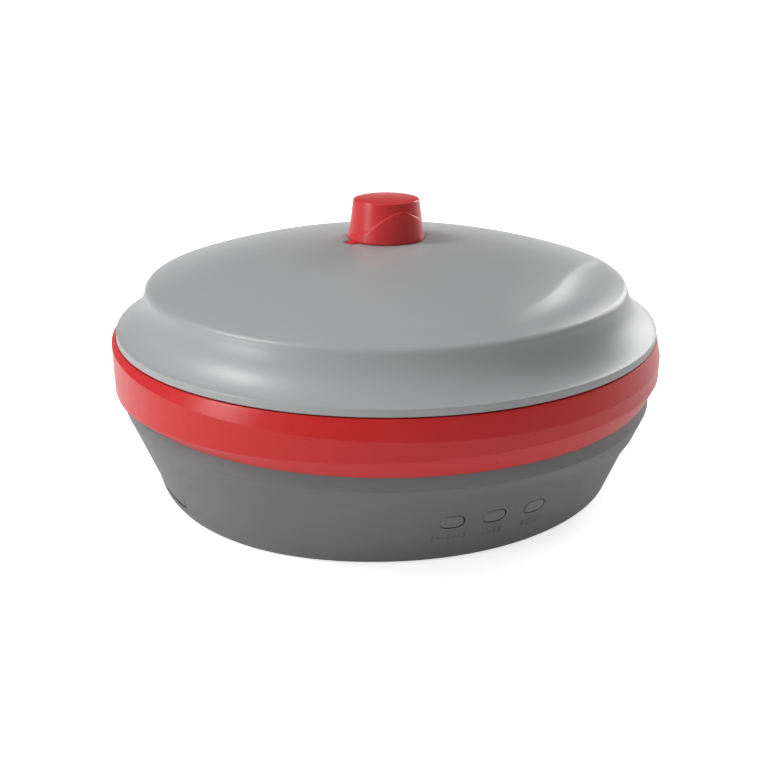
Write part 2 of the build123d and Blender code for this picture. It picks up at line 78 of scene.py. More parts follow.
def smooth_curve(points, x):
    """A smooth line through a few (x, y) points, level at both ends."""
    xs, ys = zip(*points)
    slopes = [0.0] * len(xs)
    for i in range(1, len(xs) - 1):
        slopes[i] = (ys[i + 1] - ys[i - 1]) / (xs[i + 1] - xs[i - 1])
    if x <= xs[0]:
        return ys[0]
    if x >= xs[-1]:
        return ys[-1]
    i = max(k for k in range(len(xs) - 1) if xs[k] <= x)
    span = xs[i + 1] - xs[i]
    t = (x - xs[i]) / span
    return ((2 * t ** 3 - 3 * t ** 2 + 1) * ys[i] + (t ** 3 - 2 * t ** 2 + t) * span * slopes[i]
            + (-2 * t ** 3 + 3 * t ** 2) * ys[i + 1] + (t ** 3 - t ** 2) * span * slopes[i + 1])


def rounded(corners, arc_steps=5):
    """An outline through (radius, height, corner radius, run steps) corners.

    Each corner is rounded, and the run after it is cut into that many steps, so that
    outlines with the same corners always have the same number of points."""
    count = len(corners)
    ends = []
    for i, (r, z, round_r, _) in enumerate(corners):
        here = Vector((r, z))
        before = Vector(corners[i - 1][:2]) - here
        after = Vector(corners[(i + 1) % count][:2]) - here
        turn = pi - before.angle(after, 0.0)
        reach = min(round_r * tan(min(turn, 2.9) / 2), 0.45 * before.length, 0.45 * after.length)
        ends.append((here + before.normalized() * reach, here, here + after.normalized() * reach))
    points = []
    for i, (start, corner, end) in enumerate(ends):
        for k in range(arc_steps + 1):
            t = k / arc_steps
            points.append(start * (1 - t) ** 2 + corner * 2 * t * (1 - t) + end * t ** 2)
        steps = corners[i][3]
        following = ends[(i + 1) % count][0]
        for k in range(1, steps):
            points.append(end.lerp(following, k / steps))
    return [(p.x, p.y) for p in points]


def crown(edge_r, edge_z, crown_z, r):
    """Height of a sphere-topped dome at radius r."""
    rise = crown_z - edge_z
    sphere_r = (edge_r ** 2 + rise ** 2) / (2 * rise)
    return crown_z - sphere_r + sqrt(sphere_r ** 2 - r ** 2)


# ------------------------------------------------------------------ mesh helpers
def mark_edges(mesh):
    """Stores how sharply each vertex stands out, for the wear on edges that the materials show."""
    count = len(mesh.vertices)
    place, normal = np.empty(count * 3), np.empty(count * 3)
    mesh.vertices.foreach_get("co", place)
    mesh.vertices.foreach_get("normal", normal)
    place, normal = place.reshape(-1, 3) / MM, normal.reshape(-1, 3)
    ends = np.empty(len(mesh.edges) * 2, dtype=np.int32)
    mesh.edges.foreach_get("vertices", ends)
    ends = ends.reshape(-1, 2)
    run = place[ends[:, 0]] - place[ends[:, 1]]
    length = np.maximum(np.linalg.norm(run, axis=1), 0.02)
    bend, weight = np.zeros(count), np.zeros(count)
    for side, sign in ((0, 1.0), (1, -1.0)):
        curve = 2.0 * sign * np.einsum("ij,ij->i", normal[ends[:, side]], run) / length ** 2
        np.add.at(bend, ends[:, side], curve * length)
        np.add.at(weight, ends[:, side], length)
    wear = np.clip(0.5 * bend / np.maximum(weight, 1e-6), 0.0, 1.0)
    mesh.attributes.new("edge", "FLOAT", "POINT").data.foreach_set("value", wear.astype(np.float32))


def finish_mesh(name, verts, faces, body, replaces=(), slot=None, material=None, angle=35.0):
    """Makes a smooth-shaded object from millimetre vertices and lets it ride on a body."""
    mesh = bpy.data.meshes.new(name)
    mesh.from_pydata([tuple(c * MM for c in v) for v in verts], [], faces)
    build = bmesh.new()
    build.from_mesh(mesh)
    bmesh.ops.remove_doubles(build, verts=build.verts, dist=1e-7)
    bmesh.ops.recalc_face_normals(build, faces=build.faces)
    build.to_mesh(mesh)
    build.free()
    mesh.shade_smooth()
    mesh.set_sharp_from_angle(angle=radians(angle))
    mark_edges(mesh)
    piece = bpy.data.objects.new(name, mesh)
    bpy.context.scene.collection.objects.link(piece)
    mesh.materials.append(material)
    if body:
        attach(piece, body)
    if replaces:
        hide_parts(*replaces)
    return piece


def turned(name, outline_at, azimuths, body=None, places=((0.0, 0.0),), **kind):
    """A closed solid of revolution, one at each place, whose outline may change with azimuth.

    Azimuth is in degrees from the front, -Y, towards +X."""
    verts, faces = [], []
    for x, y in places:
        start = len(verts)
        for azimuth in azimuths:
            s, c = sin(radians(azimuth)), cos(radians(azimuth))
            outline = outline_at(azimuth)
            verts.extend((x + r * s, y - r * c, z) for r, z in outline)
        n, m = len(outline), len(azimuths)
        for i in range(m):
            a, b = start + i * n, start + ((i + 1) % m) * n
            for j in range(n):
                k = (j + 1) % n
                faces.append((a + j, b + j, b + k, a + k))
    return finish_mesh(name, verts, faces, body, **kind)


def ring_angles(count):
    return [-180.0 + 360.0 * i / count for i in range(count)]


def stacked(name, parts, body=None, **kind):
    """Closed solids, each from a list of loops with the same number of points."""
    verts, faces = [], []
    for loops in parts:
        start, n = len(verts), len(loops[0])
        for loop in loops:
            verts.extend(loop)
        for step in range(len(loops) - 1):
            a, b = start + step * n, start + (step + 1) * n
            faces.extend((a + j, a + (j + 1) % n, b + (j + 1) % n, b + j) for j in range(n))
        faces.append(tuple(range(start, start + n)))
        faces.append(tuple(range(start + (len(loops) - 1) * n, start + len(loops) * n)))
    return finish_mesh(name, verts, faces, body, **kind)


def stadium(length, height, steps=14):
    """A pill outline, long in x."""
    half, r = (length - height) / 2, height / 2
    points = []
    for side, start in ((1, -90.0), (-1, 90.0)):
        for k in range(steps + 1):
            a = radians(start + 180.0 * k / steps)
            points.append((side * half + r * cos(a), r * sin(a)))
    return points


def round_rectangle(width, depth, r, steps=6):
    """A rectangle with rounded corners."""
    points = []
    for quarter, (sx, sy) in enumerate(((1, 1), (-1, 1), (-1, -1), (1, -1))):
        for k in range(steps + 1):
            a = radians(90.0 * quarter + 90.0 * k / steps)
            points.append((sx * (width / 2 - r) + r * cos(a), sy * (depth / 2 - r) + r * sin(a)))
    return points


def circle(r, steps=32):
    return [(r * cos(2 * pi * k / steps), r * sin(2 * pi * k / steps)) for k in range(steps)]


def level(outline, z, centre=(0.0, 0.0)):
    """A flat outline laid out round a centre at one height."""
    return [(centre[0] + x, centre[1] + y, z) for x, y in outline]


def cut(piece, cutter):
    """Takes the cutter's shape out of a piece and removes the cutter."""
    change = piece.modifiers.new("cut", "BOOLEAN")
    change.operation, change.solver, change.object = "DIFFERENCE", "EXACT", cutter
    mesh = bpy.data.meshes.new_from_object(piece.evaluated_get(bpy.context.evaluated_depsgraph_get()))
    piece.modifiers.clear()
    old, piece.data = piece.data, mesh
    bpy.data.meshes.remove(old)
    mesh.set_sharp_from_angle(angle=radians(35.0))
    while len(mesh.materials) > 1:
        mesh.materials.pop()
    for face in mesh.polygons:
        face.material_index = 0
    bpy.data.objects.remove(cutter)


# ------------------------------------------------------------------ materials
def new_material(name):
    material = bpy.data.materials.new(name)
    material.use_nodes = True
    return material, material.node_tree.nodes, material.node_tree.links


def tone(colour, factor):
    """A lighter or darker colour, for shading within a material."""
    return tuple(min(1.0, c * factor) for c in colour[:3]) + (1.0,)


def moulded(name, colour, roughness=0.42, grain=0.35, grain_scale=2600.0, bump=0.12,
            mottle=0.05, coat=0.0, metallic=0.0, specular=0.5, scratches=0.0, wear=0.25):
    """Moulded or finished surface: grain in bump and roughness, a slow mottle, and worn edges."""
    material, nodes, links = new_material(name)
    shader = nodes["Principled BSDF"]
    shader.inputs["Metallic"].default_value = metallic
    shader.inputs["Specular IOR Level"].default_value = specular
    shader.inputs["Coat Weight"].default_value = coat
    shader.inputs["Coat Roughness"].default_value = 0.25
    place = nodes.new("ShaderNodeTexCoord")

    def noise(scale, detail, rough=0.5):
        node = nodes.new("ShaderNodeTexNoise")
        node.inputs["Scale"].default_value = scale
        node.inputs["Detail"].default_value = detail
        node.inputs["Roughness"].default_value = rough
        links.new(place.outputs["Object"], node.inputs["Vector"])
        return node.outputs["Fac"]

    def span(source, from_low, from_high, to_low, to_high):
        node = nodes.new("ShaderNodeMapRange")
        node.inputs["From Min"].default_value = from_low
        node.inputs["From Max"].default_value = from_high
        node.inputs["To Min"].default_value = to_low
        node.inputs["To Max"].default_value = to_high
        links.new(source, node.inputs["Value"])
        return node.outputs["Result"]

    def combine(operation, first, second):
        node = nodes.new("ShaderNodeMath")
        node.operation = operation
        links.new(first, node.inputs[0])
        links.new(second, node.inputs[1])
        return node.outputs["Value"]

    slow, fine, mid = noise(28.0, 3.0), noise(grain_scale, 2.0, 0.6), noise(320.0, 4.0)
    ramp = nodes.new("ShaderNodeMix")
    ramp.data_type = "RGBA"
    ramp.inputs["A"].default_value = tone(colour, 1.0 - mottle)
    ramp.inputs["B"].default_value = tone(colour, 1.0 + mottle)
    links.new(span(slow, 0.3, 0.7, 0.0, 1.0), ramp.inputs["Factor"])
    speck = nodes.new("ShaderNodeMix")
    speck.data_type = "RGBA"
    speck.blend_type = "MULTIPLY"
    links.new(ramp.outputs["Result"], speck.inputs["A"])
    speck.inputs["B"].default_value = (0.86, 0.86, 0.86, 1.0)
    links.new(span(fine, 0.55, 0.75, 0.0, 0.35), speck.inputs["Factor"])

    # handling has polished the edges and paled them a little, more in some places than others
    edge = nodes.new("ShaderNodeAttribute")
    edge.attribute_name = "edge"
    worn = combine("MULTIPLY", edge.outputs["Fac"], span(noise(140.0, 3.0), 0.35, 0.65, 0.35, 1.0))
    pale = nodes.new("ShaderNodeMix")
    pale.data_type = "RGBA"
    links.new(speck.outputs["Result"], pale.inputs["A"])
    pale.inputs["B"].default_value = tone(colour, 1.35)
    links.new(span(worn, 0.1, 0.9, 0.0, wear), pale.inputs["Factor"])
    links.new(pale.outputs["Result"], shader.inputs["Base Color"])

    rough = combine("ADD", span(fine, 0.3, 0.7, roughness - 0.05 * grain, roughness + 0.09 * grain),
                    span(mid, 0.3, 0.7, -0.02, 0.03))
    rough = combine("SUBTRACT", rough, span(worn, 0.1, 0.9, 0.0, 0.3 * wear))
    links.new(rough, shader.inputs["Roughness"])

    height = nodes.new("ShaderNodeBump")
    height.inputs["Strength"].default_value = bump
    height.inputs["Distance"].default_value = 0.00006
    links.new(fine, height.inputs["Height"])
    top = height
    if scratches:
        wave = nodes.new("ShaderNodeTexWave")
        wave.wave_type, wave.bands_direction = "RINGS", "Z"
        wave.inputs["Scale"].default_value = 900.0
        wave.inputs["Distortion"].default_value = 1.5
        links.new(place.outputs["Object"], wave.inputs["Vector"])
        second = nodes.new("ShaderNodeBump")
        second.inputs["Strength"].default_value = scratches
        second.inputs["Distance"].default_value = 0.00003
        links.new(wave.outputs["Fac"], second.inputs["Height"])
        links.new(height.outputs["Normal"], second.inputs["Normal"])
        top = second
    links.new(top.outputs["Normal"], shader.inputs["Normal"])
    return material


def srgb(r, g, b):
    def linear(v):
        v /= 255
        return v / 12.92 if v <= 0.04045 else ((v + 0.055) / 1.055) ** 2.4
    return (linear(r), linear(g), linear(b), 1.0)


RADOME_GREY = moulded("radome_grey", srgb(166, 167, 168), roughness=0.36, mottle=0.012, bump=0.10)
BAND_RED = moulded("band_red", srgb(203, 38, 40), roughness=0.30, mottle=0.02, bump=0.06, specular=0.35)
HOUSING_GREY = moulded("housing_grey", srgb(109, 109, 110), roughness=0.44, mottle=0.015, bump=0.16)
MARK_GREY = moulded("mark_grey", srgb(98, 98, 99), roughness=0.6, mottle=0.03, bump=0.2)
CAP_RED = moulded("cap_red", srgb(214, 52, 54), roughness=0.32, mottle=0.02, bump=0.05, specular=0.4)
LENS_SMOKE = moulded("lens_smoke", srgb(107, 107, 108), roughness=0.34, mottle=0.01, bump=0.02, coat=0.4)
SEAL_BLACK = moulded("seal_black", srgb(30, 30, 31), roughness=0.6, bump=0.2)
FOOT_BLACK = moulded("foot_black", srgb(38, 38, 39), roughness=0.75, bump=0.5, grain_scale=1500.0)
BRASS = moulded("turned_brass", srgb(200, 165, 92), roughness=0.28, metallic=1.0, scratches=0.25)
NICKEL = moulded("nickel_plate", srgb(196, 192, 184), roughness=0.22, metallic=1.0, scratches=0.2)
GOLD = moulded("gold_plate", srgb(222, 178, 88), roughness=0.2, metallic=1.0)
PTFE = moulded("ptfe_white", srgb(236, 236, 232), roughness=0.5)
STEEL = moulded("screw_steel", srgb(165, 167, 170), roughness=0.3, metallic=1.0, scratches=0.2)
TIN = moulded("shield_tin", srgb(186, 188, 190), roughness=0.38, metallic=1.0, grain_scale=900.0, bump=0.3)
ALUMINIUM = moulded("sheet_aluminium", srgb(195, 197, 200), roughness=0.4, metallic=1.0, scratches=0.3)
BOARD_GREEN = moulded("board_green", srgb(24, 78, 48), roughness=0.35, coat=0.4)
LAMINATE = moulded("antenna_laminate", srgb(214, 206, 178), roughness=0.5)
NYLON = moulded("nylon_natural", srgb(225, 222, 212), roughness=0.5)
PORT_BLACK = moulded("port_black", srgb(30, 30, 32), roughness=0.5, bump=0.25)
JACKET = moulded("lead_jacket", srgb(150, 110, 60), roughness=0.35)
LABEL = moulded("label_film", srgb(205, 206, 208), roughness=0.5, bump=0.05)
EPOXY = moulded("led_epoxy", srgb(228, 228, 220), roughness=0.15, coat=0.5)


# ------------------------------------------------------------------ camera, light and stage
def aim(item, target):
    item.rotation_euler = (Vector(target) - item.location).to_track_quat("-Z", "Y").to_euler()


CAMERA_FRONT, CAMERA_RISE, CAMERA_DIP = 311.1, 94.6, 20.37      # from the axis, over the seam, degrees


def add_camera():
    """A 50 mm lens in front of the receiver, looking down on it."""
    data = bpy.data.cameras.new("camera")
    data.lens, data.sensor_width, data.shift_x = 50.0, 36.0, -0.003
    camera = bpy.data.objects.new("camera", data)
    camera.location = (0.0, -CAMERA_FRONT * MM, (SEAM_Z + CAMERA_RISE) * MM)
    camera.rotation_euler = (radians(90.0 - CAMERA_DIP), 0.0, 0.0)
    bpy.context.scene.collection.objects.link(camera)
    bpy.context.scene.camera = camera


def area_light(name, place, target, width, height, power):
    data = bpy.data.lights.new(name, "AREA")
    data.shape, data.size, data.size_y = "RECTANGLE", width, height
    data.energy = power
    lamp = bpy.data.objects.new(name, data)
    lamp.location = place
    bpy.context.scene.collection.objects.link(lamp)
    aim(lamp, target)


def add_lights():
    """Two softboxes at the left, two behind at the right, a long low bank behind, and soft light
    from above."""
    centre = (0.0, 0.0, SEAM_Z * MM)
    area_light("high_left", (-0.69, -0.08, 0.78), centre, 0.18, 0.24, 4.5)
    area_light("side_left", (-0.90, -0.46, 0.26), centre, 0.26, 0.26, 2.9)
    area_light("back_high", (0.56, 0.66, 0.54), centre, 0.34, 0.30, 2.4)
    area_light("back_right", (0.70, 0.72, 0.27), centre, 0.44, 0.26, 2.0)
    area_light("back_bank", (0.50, 2.15, 0.17), centre, 4.00, 0.34, 6.0)
    data = bpy.data.lights.new("overhead", "SUN")
    data.energy, data.angle = 0.95, radians(80.0)
    bpy.context.scene.collection.objects.link(bpy.data.objects.new("overhead", data))


def add_world():
    """Dim even light all round, with white behind everything the camera sees."""
    world = bpy.data.worlds.new("studio")
    bpy.context.scene.world = world
    world.use_nodes = True
    nodes, links = world.node_tree.nodes, world.node_tree.links
    ray, glow = nodes.new("ShaderNodeLightPath"), nodes.new("ShaderNodeMapRange")
    glow.inputs["To Min"].default_value, glow.inputs["To Max"].default_value = 0.12, 1.0
    links.new(ray.outputs["Is Camera Ray"], glow.inputs["Value"])
    links.new(glow.outputs["Result"], nodes["Background"].inputs["Strength"])
    nodes["Background"].inputs["Color"].default_value = (1.0, 1.0, 1.0, 1.0)
    bpy.context.scene.view_settings.view_transform = "Standard"


def add_floor():
    """A wide pale disc, lifted to white where the camera looks at it."""
    material, nodes, links = new_material("floor_white")
    shader = nodes["Principled BSDF"]
    shader.inputs["Base Color"].default_value = (0.84, 0.84, 0.84, 1.0)
    shader.inputs["Roughness"].default_value = 0.9
    shader.inputs["Specular IOR Level"].default_value = 0.1
    shader.inputs["Emission Color"].default_value = (1.0, 1.0, 1.0, 1.0)
    ray, glow = nodes.new("ShaderNodeLightPath"), nodes.new("ShaderNodeMapRange")
    glow.inputs["To Min"].default_value, glow.inputs["To Max"].default_value = 0.21, 0.72
    links.new(ray.outputs["Is Camera Ray"], glow.inputs["Value"])
    links.new(glow.outputs["Result"], shader.inputs["Emission Strength"])
    build = bmesh.new()
    bmesh.ops.create_circle(build, cap_ends=True, segments=96, radius=30.0)
    mesh = bpy.data.meshes.new("floor")
    build.to_mesh(mesh)
    build.free()
    mesh.materials.append(material)
    floor = bpy.data.objects.new("floor", mesh)
    bpy.context.scene.collection.objects.link(floor)


add_camera()
add_lights()
add_world()
add_floor()


# ------------------------------------------------------------------ radome
DOME_EDGE_R, DOME_EDGE_Z, DOME_CROWN = 69.0, 59.62, 70.84
CREASE = ((-60.0, 64.0), (-37.0, 56.0), (-18.0, 53.2), (0.0, 56.3), (12.0, 60.3), (25.0, 62.0),
          (45.0, 58.5), (66.0, 54.8), (86.0, 57.5), (109.0, 68.5))   # azimuth, radius
CREASE_DEPTH = ((-30.0, 0.0), (0.0, 0.18), (25.0, 0.40), (45.0, 0.66), (80.0, 0.72), (100.0, 0.45),
                (112.0, 0.0))                                       # azimuth, depth of the scoop
CREASE_SOFTNESS = 0.3                    # square of the width over which the dome breaks, mm2
SCOOP_PEAK = 27 / 4                      # makes the scoop exactly as deep as its stated depth
SCOOP_END_R, SCOOP_RUN_MIN = DOME_EDGE_R + 0.6, 6.0
FLARE = (Vector((71.08, 57.2)), Vector((72.9, 51.0)), Vector((79.0, 47.55)))   # curve down to the lip
FLARE_STEPS = 25
PRY_AZIMUTH = -55.0


def dome_relief(azimuth, r):
    """The soft S-shaped crease: the dome breaks into a shallow scoop that eases out at the rim."""
    depth = smooth_curve(CREASE_DEPTH, azimuth)
    if not depth:
        return 0.0
    crease_r = smooth_curve(CREASE, azimuth)
    past = r - crease_r
    into = 0.5 * (past + sqrt(past * past + CREASE_SOFTNESS))
    reach = into / max(SCOOP_RUN_MIN, SCOOP_END_R - crease_r)
    return -float(depth * SCOOP_PEAK * reach * max(0.0, 1.0 - reach) ** 2)


def radome_outline(azimuth):
    """The shell's outer dome, rim, flare and lip, then its inner side."""
    def dome_z(r):
        return crown(DOME_EDGE_R, DOME_EDGE_Z, DOME_CROWN, r) + dome_relief(azimuth, r)

    outline = [(5.6, 68.0), (5.6, SEAT_Z), (9.0, SEAT_Z), (11.8, SEAT_Z)]
    radii = [12.0 + 2.0 * i for i in range(18)] + [48.0 + 0.5 * i for i in range(38)]
    outline += [(r, dome_z(r)) for r in radii]
    rim = rounded([(66.8, dome_z(66.8), 0.0, 1), (70.85, 59.05, 3.4, 1), (71.3, 55.4, 0.0, 1)],
                  arc_steps=12)
    outline += rim[14:26]
    for i in range(1, FLARE_STEPS):
        t = i / FLARE_STEPS
        point = FLARE[0] * (1 - t) ** 2 + FLARE[1] * 2 * t * (1 - t) + FLARE[2] * t ** 2
        outline.append((point.x, point.y))
    lip = rounded([(*FLARE[2], 0.0, 1), (SEAM_R - 0.25, 47.3, 0.35, 1), (SEAM_R - 0.05, 45.35, 0.12, 1),
                   (78.3, 45.35, 0.05, 1)], arc_steps=6)
    outline += lip[6:28]
    outline += [(78.2, SEAM_Z + 0.01), (74.0, SEAM_Z + 0.01), (74.0, 46.5), (71.6, 50.6), (68.9, 55.5),
                (67.0, 57.0)]
    outline += [(r, crown(67.0, 57.0, 68.2, r)) for r in (60.0, 50.0, 40.0, 30.0, 20.0, 11.0)]
    return outline


def turned_plate(width, length, r, azimuth, distance):
    """A rounded rectangle lying flat at a distance from the axis, its length along the radius."""
    s, c = sin(radians(azimuth)), cos(radians(azimuth))
    return [((distance + y) * s + x * c, -(distance + y) * c + x * s)
            for x, y in round_rectangle(width, length, r)]


radome = turned("radome_shell", radome_outline, ring_angles(600), RECEIVER, replaces=("radome",),
                slot="radome_plastic", material=RADOME_GREY)
notch = turned_plate(4.8, 3.2, 0.5, PRY_AZIMUTH, 12.4)
cut(radome, stacked("notch", [[level(notch, SEAT_Z - 0.8), level(notch, SEAT_Z + 2.0)]],
                    material=RADOME_GREY))


# ------------------------------------------------------------------ red band
def band_outline(azimuth):
    """Three crisp facets whose bevels grow from the left rear to the right front."""
    upper = max(0.6, 2.4 + 3.7 * cos(radians(azimuth - 35.0)))
    lower = max(1.2, 1.9 + 3.8 * cos(radians(azimuth - 38.0)))
    return rounded([
        (77.1, BAND_BOTTOM, 0.0, 2),
        (79.0, BAND_BOTTOM, 0.3, 5),
        (BAND_R - 0.02, BAND_BOTTOM + lower, 0.5, 5),
        (BAND_R - 0.02, SEAM_Z - upper, 0.5, 5),
        (SEAM_R + 0.15, SEAM_Z - 0.02, 0.15, 3),
        (77.1, SEAM_Z - 0.02, 0.0, 3),
    ], arc_steps=5)


turned("red_band", band_outline, ring_angles(480), RECEIVER, replaces=("trim_band",),
       slot="band_plastic", material=BAND_RED)


# ------------------------------------------------------------------ lower housing
SWOOSH = ((-30.0, 1.0), (-21.5, 6.9), (-10.7, 14.4), (0.0, 19.2), (12.0, 21.8), (26.0, 22.4),
          (41.0, 20.6), (54.0, 17.2), (80.0, 9.0), (100.0, 1.0))          # azimuth, height
SWOOSH_DEPTH = ((-32.0, 0.0), (-20.0, 0.35), (0.0, 0.9), (30.0, 1.1), (70.0, 0.8), (104.0, 0.0))
EDGE_R, SHOULDER_R, SHOULDER_Z, NECK_Z = 69.6, 75.2, 15.6, 25.4
SLOT_MIDDLE, SLOT_HALF, SLOT_TOP, LIP_TOP = -90.0, 38.0, 3.6, 2.75     # shadow gap over the plate's lip
BLEND = 0.03                              # half the turn, in degrees, that each end of the gap takes
BASE_SWELL = ((-136.0, 0.0), (-112.0, 0.2), (-90.0, 0.35), (-62.0, 0.55), (-45.0, 0.9), (-25.0, 0.9),
              (0.0, 0.45), (35.0, 0.05), (55.0, 0.0))                    # azimuth, amount
SWELL_OUT, SWELL_DOWN, SWELL_TOP = 1.2, 0.8, 6.5


def wall_radius(z):
    """The plain cone below the shoulder and the one above it."""
    if z > SHOULDER_Z:
        return SHOULDER_R + (NECK_R - SHOULDER_R) * (z - SHOULDER_Z) / (NECK_Z - SHOULDER_Z)
    return EDGE_R + (SHOULDER_R - EDGE_R) * (z - EDGE_Z) / (SHOULDER_Z - EDGE_Z)


def swoosh_relief(azimuth, z):
    """How far the panel under the swoosh crease sinks into the wall."""
    turn = (azimuth + 32.0) % 180.0 - 32.0       # the same swoosh twice round the housing
    depth = smooth_curve(SWOOSH_DEPTH, turn)
    if not depth:
        return 0.0
    crease = smooth_curve(SWOOSH, turn)
    ledge = 1.0 - smoothstep(crease - 0.8, crease + min(5.0, NECK_Z - crease + 0.5), z)
    return float(depth * ledge)


def wall_at(azimuth, z):
    return wall_radius(z) - swoosh_relief(azimuth, z)


def skirt_at(azimuth, z):
    """The wall, with its bottom edge grown outward at the left and the front left."""
    swell = SWELL_OUT * smooth_curve(BASE_SWELL, azimuth)
    return wall_at(azimuth, z) + swell * (1.0 - smoothstep(0.0, SWELL_TOP, z))


def skirt_edge_z(azimuth):
    return EDGE_Z - SWELL_DOWN * smooth_curve(BASE_SWELL, azimuth)


def gap_ends(half):
    """A pair of close angles on each side of the shadow gap's ends."""
    return [SLOT_MIDDLE + side * (half + step) for side in (-1, 1) for step in (-BLEND, BLEND)]


def housing_outline(azimuth):
    """The wall from its bottom edge to the neck, then its inner side."""
    gap = abs(azimuth - SLOT_MIDDLE) < SLOT_HALF
    edge_z = SLOT_TOP if gap else skirt_edge_z(azimuth)
    levels = [edge_z + 0.9 + (NECK_Z - 0.6 - edge_z - 0.9) * i / 60 for i in range(61)]
    wall = [(skirt_at(azimuth, z), z) for z in levels]
    bottom = rounded([(66.0, edge_z, 0.0, 1), (skirt_at(azimuth, edge_z), edge_z, 0.6, 1),
                      wall[0] + (0.0, 1)], arc_steps=6)
    neck = rounded([wall[-1] + (0.0, 1), (NECK_R, NECK_Z, 0.4, 3), (78.75, BAND_BOTTOM - 0.05, 0.1, 1),
                    (77.2, BAND_BOTTOM - 0.05, 0.0, 1)], arc_steps=5)
    outline = [(66.0, 3.2), (66.0, edge_z)] + bottom[7:14] + wall + neck[7:21]
    outline += [(77.0, BAND_BOTTOM), (76.9, 43.5), (73.9, 43.5), (73.9, 24.5), (71.9, 16.4), (67.6, 6.2),
                (56.0, 6.2), (56.0, 3.2)]
    return outline


def housing_angles():
    """Closer together round the lenses, with a blunt end at each end of the shadow gap."""
    coarse = [-180.0 + 0.75 * i for i in range(249)]          # -180 to 6
    fine = [6.25 + 0.25 * i for i in range(127)]              # 6.25 to 37.75
    rest = [38.5 + 0.75 * i for i in range(189)]              # 38.5 to 179.5
    return sorted(coarse + fine + rest + gap_ends(SLOT_HALF))


housing = turned("dark_housing", housing_outline, housing_angles(), RECEIVER, replaces=("lower_housing",),
                 slot="housing_plastic", material=HOUSING_GREY)


# ------------------------------------------------------------------ status lenses and their marks
LENS_AZIMUTHS, LENS_Z, LENS_LENGTH, LENS_HEIGHT = (13.0, 22.0, 31.5), 13.6, 6.2, 4.0
LENS_SOFT_EDGE = ((0.0, -5.0), (0.0, -0.05), (0.02, 0.04), (0.08, 0.12), (0.18, 0.17), (0.34, 0.20),
                  (0.75, 0.23), (1.3, 0.24))                # inset, height over the wall


def wall_frame(azimuth, z):
    """Place on the wall, and the directions along it, up it and out of it."""
    s, c = sin(radians(azimuth)), cos(radians(azimuth))
    here, above = wall_at(azimuth, z - 1.0), wall_at(azimuth, z + 1.0)
    along = Vector((c, s, 0.0))
    up = Vector(((above - here) * s, -(above - here) * c, 2.0)).normalized()
    middle = wall_at(azimuth, z)
    return Vector((middle * s, -middle * c, z)), along, up, along.cross(up)


def pill(azimuth, grow, shift, edge):
    """Pill-shaped loops on the wall, one for each (inset, rise) of the edge."""
    place, along, up, out = wall_frame(azimuth, LENS_Z)
    return [[tuple(place + along * (x + shift) + up * (y - shift) + out * rise)
             for x, y in stadium(LENS_LENGTH + grow - 2 * inset, LENS_HEIGHT + grow - 2 * inset)]
            for inset, rise in edge]


# the lens sits high and to the left in its window, which leaves a dark gap at the lower right
windows = [pill(azimuth, 0.5, 0.22, ((0.0, -9.0), (0.0, 2.0))) for azimuth in LENS_AZIMUTHS]
cut(housing, stacked("windows", windows, material=HOUSING_GREY))
for number, azimuth in enumerate(LENS_AZIMUTHS, start=1):
    stacked(f"lens_{number}", [pill(azimuth, 0.0, 0.0, LENS_SOFT_EDGE)], RECEIVER,
            replaces=(f"status_lens_{number}",), slot="lens_plastic", material=LENS_SMOKE)


def mark(azimuth, z, outline):
    """A low raised shape that follows the curved wall."""
    place, _, up, _ = wall_frame(azimuth, z)
    loops = []
    for rise in (-0.3, 0.035):
        loop = []
        for x, y in outline:
            turn = azimuth + degrees(x / place.xy.length)
            at_z = z + y * up.z
            r = wall_at(turn, at_z) + rise
            loop.append((r * sin(radians(turn)), -r * cos(radians(turn)), at_z))
        loops.append(loop)
    return loops


def bar(x, y, width, height):
    """An upright or lying bar of a mark, with enough points to follow the wall."""
    steps = max(1, round(width / 0.6))
    low_run = [(x - width / 2 + width * k / steps, y - height / 2) for k in range(steps + 1)]
    return low_run + [(px, y + height / 2) for px, _ in reversed(low_run)]


MARK_Z = 8.2
MARKS = (
    (12.8, [bar(-4.2, 0.0, 0.7, 2.4), bar(-2.1, 0.0, 2.4, 0.7), bar(0.0, 0.0, 0.7, 2.4),
            bar(2.1, 0.0, 2.4, 0.7), bar(4.2, 0.0, 0.7, 2.4)]),
    (22.4, [bar(-2.2, -0.8, 0.9, 0.9), bar(-0.7, -0.4, 0.9, 1.7), bar(0.8, 0.0, 0.9, 2.5),
            bar(2.3, 0.0, 0.9, 2.5)]),
    (31.6, [bar(-2.2, 0.0, 0.9, 2.4), bar(0.0, 0.75, 2.2, 0.7), bar(0.0, -0.75, 2.2, 0.7),
            bar(2.2, 0.0, 0.9, 2.4)]),
)
for number, (azimuth, bars) in enumerate(MARKS, start=1):
    stacked(f"lens_mark_{number}", [mark(azimuth, MARK_Z, outline) for outline in bars], RECEIVER,
            slot="housing_plastic", material=MARK_GREY)


# ------------------------------------------------------------------ underside
PLATE_BOTTOM, PLATE_TOP = low("base_plate").z + 0.6, high("base_plate").z
PORT = (low("data_port") + high("data_port")) / 2
PORT_AT = (PORT.x, PORT.y)
VENT = (low("vent_plug") + high("vent_plug")) / 2
VENT_AT = (VENT.x, VENT.y)
SCREW_HEAD_R, FOOT_R = 2.8, 5.0
LIP_HALF = SLOT_HALF - 0.05               # half the turn that the plate's lip takes up


def four_corners(offset):
    return [(sx * offset, sy * offset) for sx, sy in ((1, 1), (-1, 1), (-1, -1), (1, -1))]


SCREWS_AT = four_corners(high("base_screws").x - SCREW_HEAD_R)
FEET_AT = four_corners(high("rubber_feet").x - FOOT_R)


